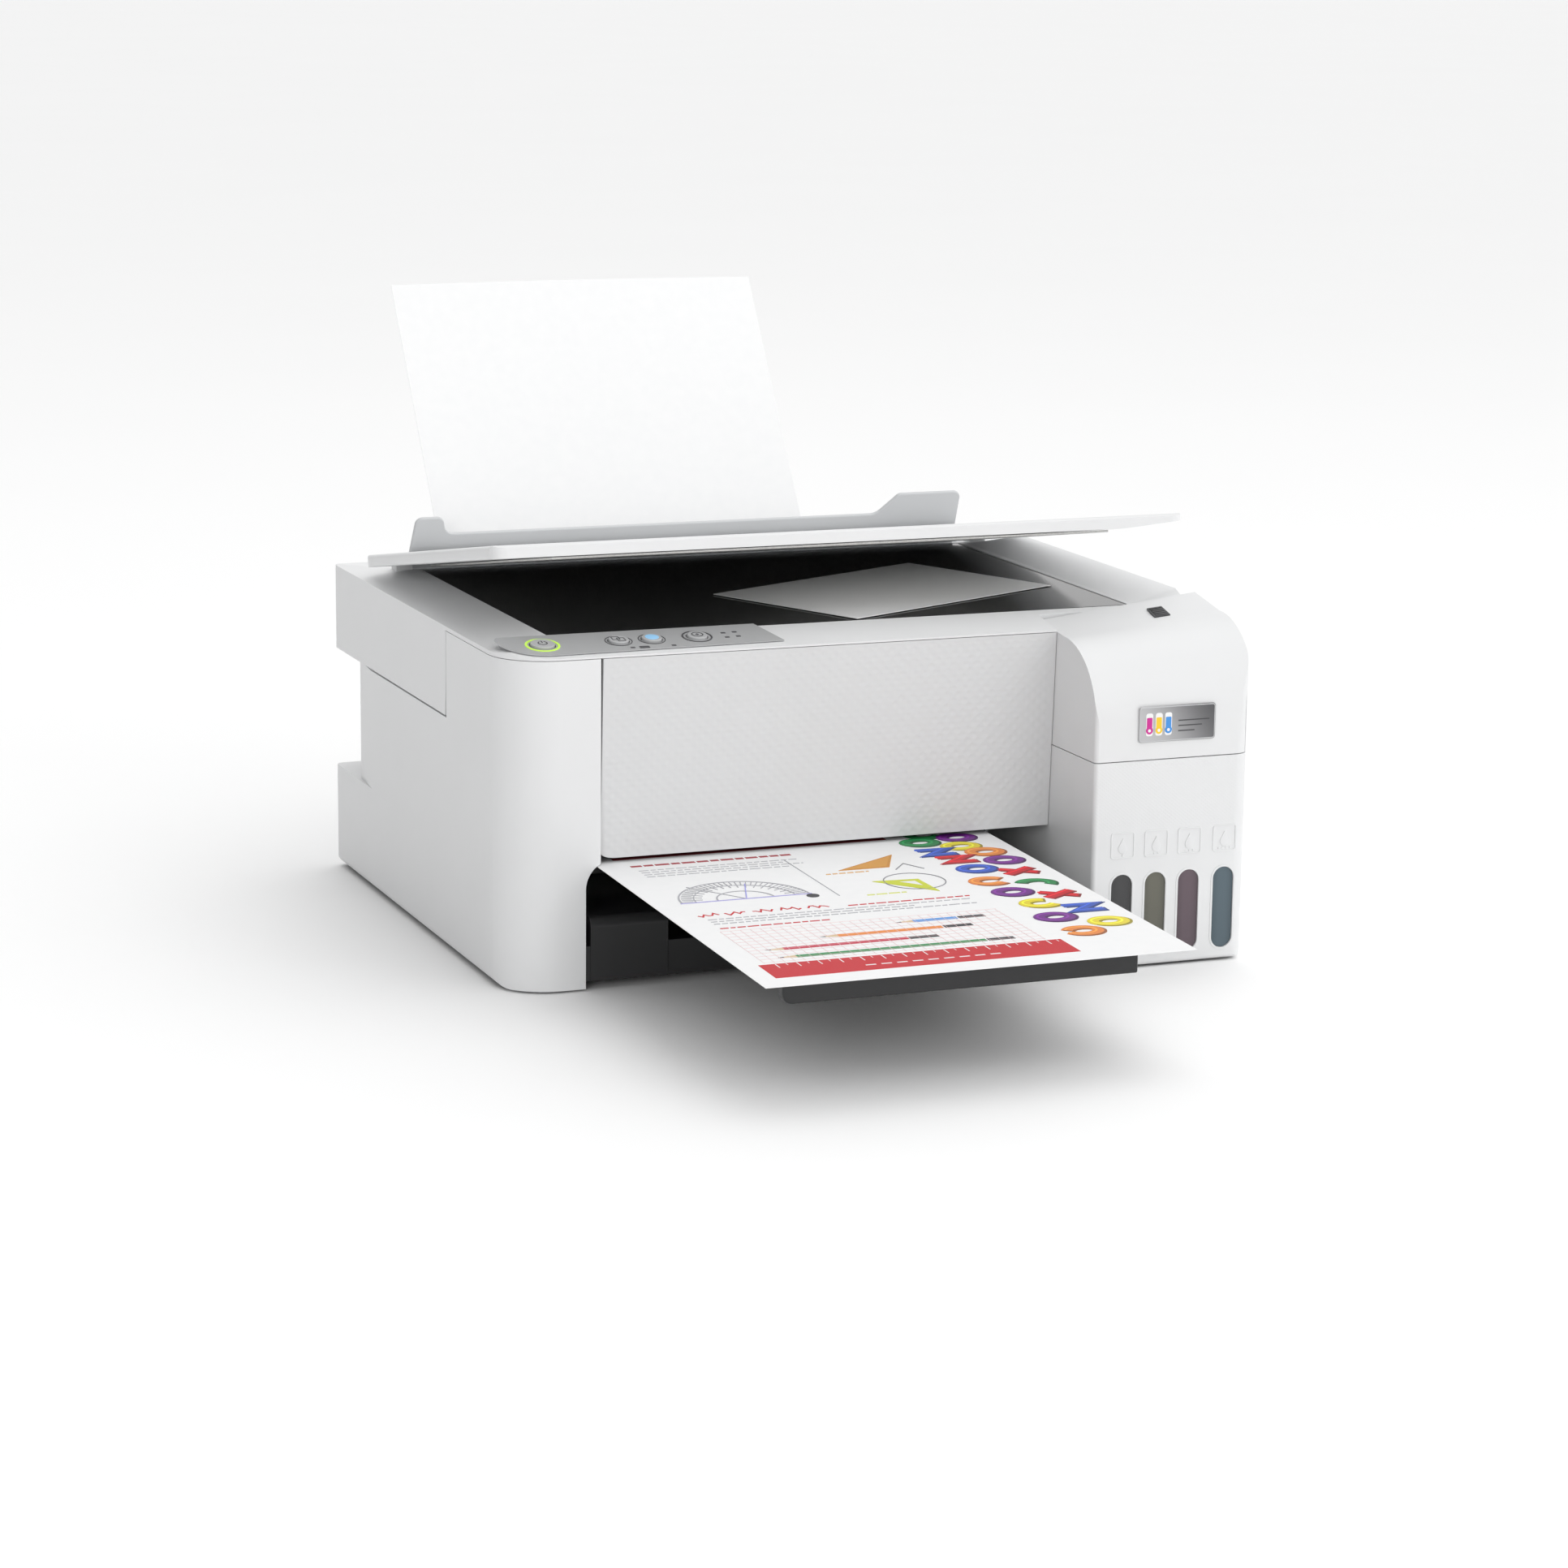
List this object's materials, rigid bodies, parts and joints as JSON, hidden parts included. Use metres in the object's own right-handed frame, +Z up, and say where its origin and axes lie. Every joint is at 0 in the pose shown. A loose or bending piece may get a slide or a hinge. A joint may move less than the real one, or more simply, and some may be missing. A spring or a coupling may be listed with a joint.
{
  "type": "inkjet printer",
  "caption": "All-in-one ink-tank printer with a flatbed scanner under a hinged cover, a rear sheet feeder, an output tray and ink tanks at the front right.",
  "frame": {"origin": "centre of the bounding box on the floor plane, under the feet", "axes": "+Z up, the front faces -Y, +X is the ink-tank side"},
  "size_m": [0.375, 0.5832, 0.3092],
  "materials": {
    "shell": "fine satin",
    "panel": "satin with a fine raised pattern",
    "guard_grey": "satin",
    "black": "satin",
    "dark_grey": "satin",
    "control_film": "semi-gloss",
    "button": "semi-gloss",
    "paper": "uncoated",
    "foam": "matt",
    "steel": "rolled",
    "rubber": "matt",
    "scanner_glass": "polished float glass over a black well",
    "circuit_board": "solder mask",
    "plate": "silver grey",
    "tank_black": "clear moulding over black ink",
    "tank_yellow": "clear moulding over yellow ink",
    "tank_magenta": "clear moulding over magenta ink",
    "tank_cyan": "clear moulding over cyan ink"
  },
  "bodies": {
    "root": {"base_frame": "black", "left_housing": "shell", "right_housing": "shell", "front_panel": "panel", "rear_cover": "shell", "ac_inlet": "black", "usb_port": "steel", "foot_front_left": "rubber", "foot_front_right": "rubber", "foot_rear_left": "rubber", "foot_rear_right": "rubber", "tank_bezel": "dark_grey", "ink_tank_black": "tank_black", "ink_tank_yellow": "tank_yellow", "ink_tank_magenta": "tank_magenta", "ink_tank_cyan": "tank_cyan", "loaded_sheet": "paper", "feeder_chute": "dark_grey", "printed_page": "paper", "chassis": "steel", "guide_shaft": "steel", "platen": "black", "capping_station": "dark_grey", "feed_motor": "steel", "carriage_motor": "steel", "timing_belt": "rubber", "power_supply": "steel", "main_board": "circuit_board", "waste_ink_pad": "foam"},
    "scanner_unit": {"scanner_deck": "shell", "scanner_tub": "black", "scanner_glass": "scanner_glass", "scan_rail": "steel", "control_film": "control_film", "original_card": "paper"},
    "scan_bar": {"scan_bar": "black"},
    "lid": {"document_cover": "shell", "lid_pad": "foam"},
    "guard": {"feeder_guard": "guard_grey"},
    "power_button": {"power_button": "button"},
    "copy_mono_button": {"copy_mono_button": "button"},
    "copy_colour_button": {"copy_colour_button": "button"},
    "stop_button": {"stop_button": "button"},
    "tank_cover": {"ink_tank_cover": "shell", "cover_plate": "plate"},
    "tank_cap_black": {"tank_cap_black": "dark_grey"},
    "tank_cap_yellow": {"tank_cap_yellow": "dark_grey"},
    "tank_cap_magenta": {"tank_cap_magenta": "dark_grey"},
    "tank_cap_cyan": {"tank_cap_cyan": "dark_grey"},
    "paper_support": {"paper_support": "guard_grey"},
    "edge_guide": {"edge_guide": "dark_grey"},
    "output_tray": {"output_tray": "black"},
    "tray_extension": {"tray_extension": "black"},
    "carriage": {"print_head_carriage": "black"},
    "drive_pulley": {"drive_pulley": "steel"},
    "idler_pulley": {"idler_pulley": "steel"},
    "feed_roller": {"feed_roller": "rubber"},
    "eject_roller": {"eject_roller": "rubber"},
    "motor_pinion": {"motor_pinion": "steel"},
    "pickup_roller": {"pickup_roller": "rubber"}
  },
  "joints": [
    {"name": "scanner_hinge", "type": "hinge", "parent": "root", "child": "scanner_unit", "pos_m": [0, 0.2273, 0.15], "axis": [-1, 0, 0], "range_deg": [0, 28]},
    {"name": "lid_hinge", "type": "hinge", "parent": "scanner_unit", "child": "lid", "pos_m": [0, 0.1773, 0.176], "axis": [-1, 0, 0], "range_deg": [-9.5, 65]},
    {"name": "guard_hinge", "type": "hinge", "parent": "scanner_unit", "child": "guard", "pos_m": [0, 0.1903, 0.168], "axis": [-1, 0, 0], "range_deg": [0, 20]},
    {"name": "scan_bar_slide", "type": "slide", "parent": "scanner_unit", "child": "scan_bar", "axis": [1, 0, 0], "range_m": [0, 0.315]},
    {"name": "power_button_press", "type": "slide", "parent": "scanner_unit", "child": "power_button", "axis": [0, 0.1808, -0.9835], "range_m": [0, 0.001], "stiffness_N_per_m": 400, "springref_m": -0.0005},
    {"name": "copy_mono_button_press", "type": "slide", "parent": "scanner_unit", "child": "copy_mono_button", "axis": [0, 0.1808, -0.9835], "range_m": [0, 0.001], "stiffness_N_per_m": 400, "springref_m": -0.0005},
    {"name": "copy_colour_button_press", "type": "slide", "parent": "scanner_unit", "child": "copy_colour_button", "axis": [0, 0.1808, -0.9835], "range_m": [0, 0.001], "stiffness_N_per_m": 400, "springref_m": -0.0005},
    {"name": "stop_button_press", "type": "slide", "parent": "scanner_unit", "child": "stop_button", "axis": [0, 0.1808, -0.9835], "range_m": [0, 0.001], "stiffness_N_per_m": 400, "springref_m": -0.0005},
    {"name": "tank_cover_hinge", "type": "hinge", "parent": "root", "child": "tank_cover", "pos_m": [0.144, -0.0492, 0.175], "axis": [-1, 0, 0], "range_deg": [0, 90]},
    {"name": "tank_cap_black_hinge", "type": "hinge", "parent": "root", "child": "tank_cap_black", "pos_m": [0.1173, -0.0677, 0.1043], "axis": [-1, 0, 0], "range_deg": [0, 100]},
    {"name": "tank_cap_yellow_hinge", "type": "hinge", "parent": "root", "child": "tank_cap_yellow", "pos_m": [0.1358, -0.0677, 0.1043], "axis": [-1, 0, 0], "range_deg": [0, 100]},
    {"name": "tank_cap_magenta_hinge", "type": "hinge", "parent": "root", "child": "tank_cap_magenta", "pos_m": [0.1542, -0.0677, 0.1043], "axis": [-1, 0, 0], "range_deg": [0, 100]},
    {"name": "tank_cap_cyan_hinge", "type": "hinge", "parent": "root", "child": "tank_cap_cyan", "pos_m": [0.1737, -0.0677, 0.1043], "axis": [-1, 0, 0], "range_deg": [0, 100]},
    {"name": "paper_support_slide", "type": "slide", "parent": "root", "child": "paper_support", "axis": [0, 0.5592, 0.829], "range_m": [-0.06, 0]},
    {"name": "edge_guide_slide", "type": "slide", "parent": "root", "child": "edge_guide", "axis": [1, 0, 0], "range_m": [0, 0.06]},
    {"name": "output_tray_slide", "type": "slide", "parent": "root", "child": "output_tray", "axis": [0, -1, 0], "range_m": [-0.105, 0]},
    {"name": "tray_extension_slide", "type": "slide", "parent": "output_tray", "child": "tray_extension", "axis": [0, -1, 0], "range_m": [-0.084, 0]},
    {"name": "carriage_slide", "type": "slide", "parent": "root", "child": "carriage", "axis": [1, 0, 0], "range_m": [-0.185, 0]},
    {"name": "drive_pulley_spin", "type": "hinge", "parent": "root", "child": "drive_pulley", "pos_m": [0.08, 0.1063, 0.096], "axis": [0, 1, 0], "range_deg": [-1519, 5]},
    {"name": "idler_pulley_spin", "type": "hinge", "parent": "root", "child": "idler_pulley", "pos_m": [-0.155, 0.1063, 0.096], "axis": [0, 1, 0], "range_deg": [-1519, 5]},
    {"name": "feed_roller_spin", "type": "hinge", "parent": "root", "child": "feed_roller", "pos_m": [0, 0.0793, 0.0555], "axis": [1, 0, 0], "continuous": true},
    {"name": "eject_roller_spin", "type": "hinge", "parent": "root", "child": "eject_roller", "pos_m": [0, 0.0193, 0.0555], "axis": [1, 0, 0], "continuous": true},
    {"name": "motor_pinion_spin", "type": "hinge", "parent": "root", "child": "motor_pinion", "pos_m": [0, 0.0493, 0.0555], "axis": [1, 0, 0], "continuous": true},
    {"name": "pickup_roller_spin", "type": "hinge", "parent": "root", "child": "pickup_roller", "pos_m": [-0.036, 0.13868, 0.09982], "axis": [1, 0, 0], "continuous": true}
  ],
  "couplings": [
    {"joint": "drive_pulley_spin", "follows": "carriage_slide", "rad_per_m": 142.86},
    {"joint": "idler_pulley_spin", "follows": "carriage_slide", "rad_per_m": 142.86},
    {"joint": "eject_roller_spin", "follows": "feed_roller_spin", "ratio": 1},
    {"joint": "motor_pinion_spin", "follows": "feed_roller_spin", "ratio": -2}
  ]
}
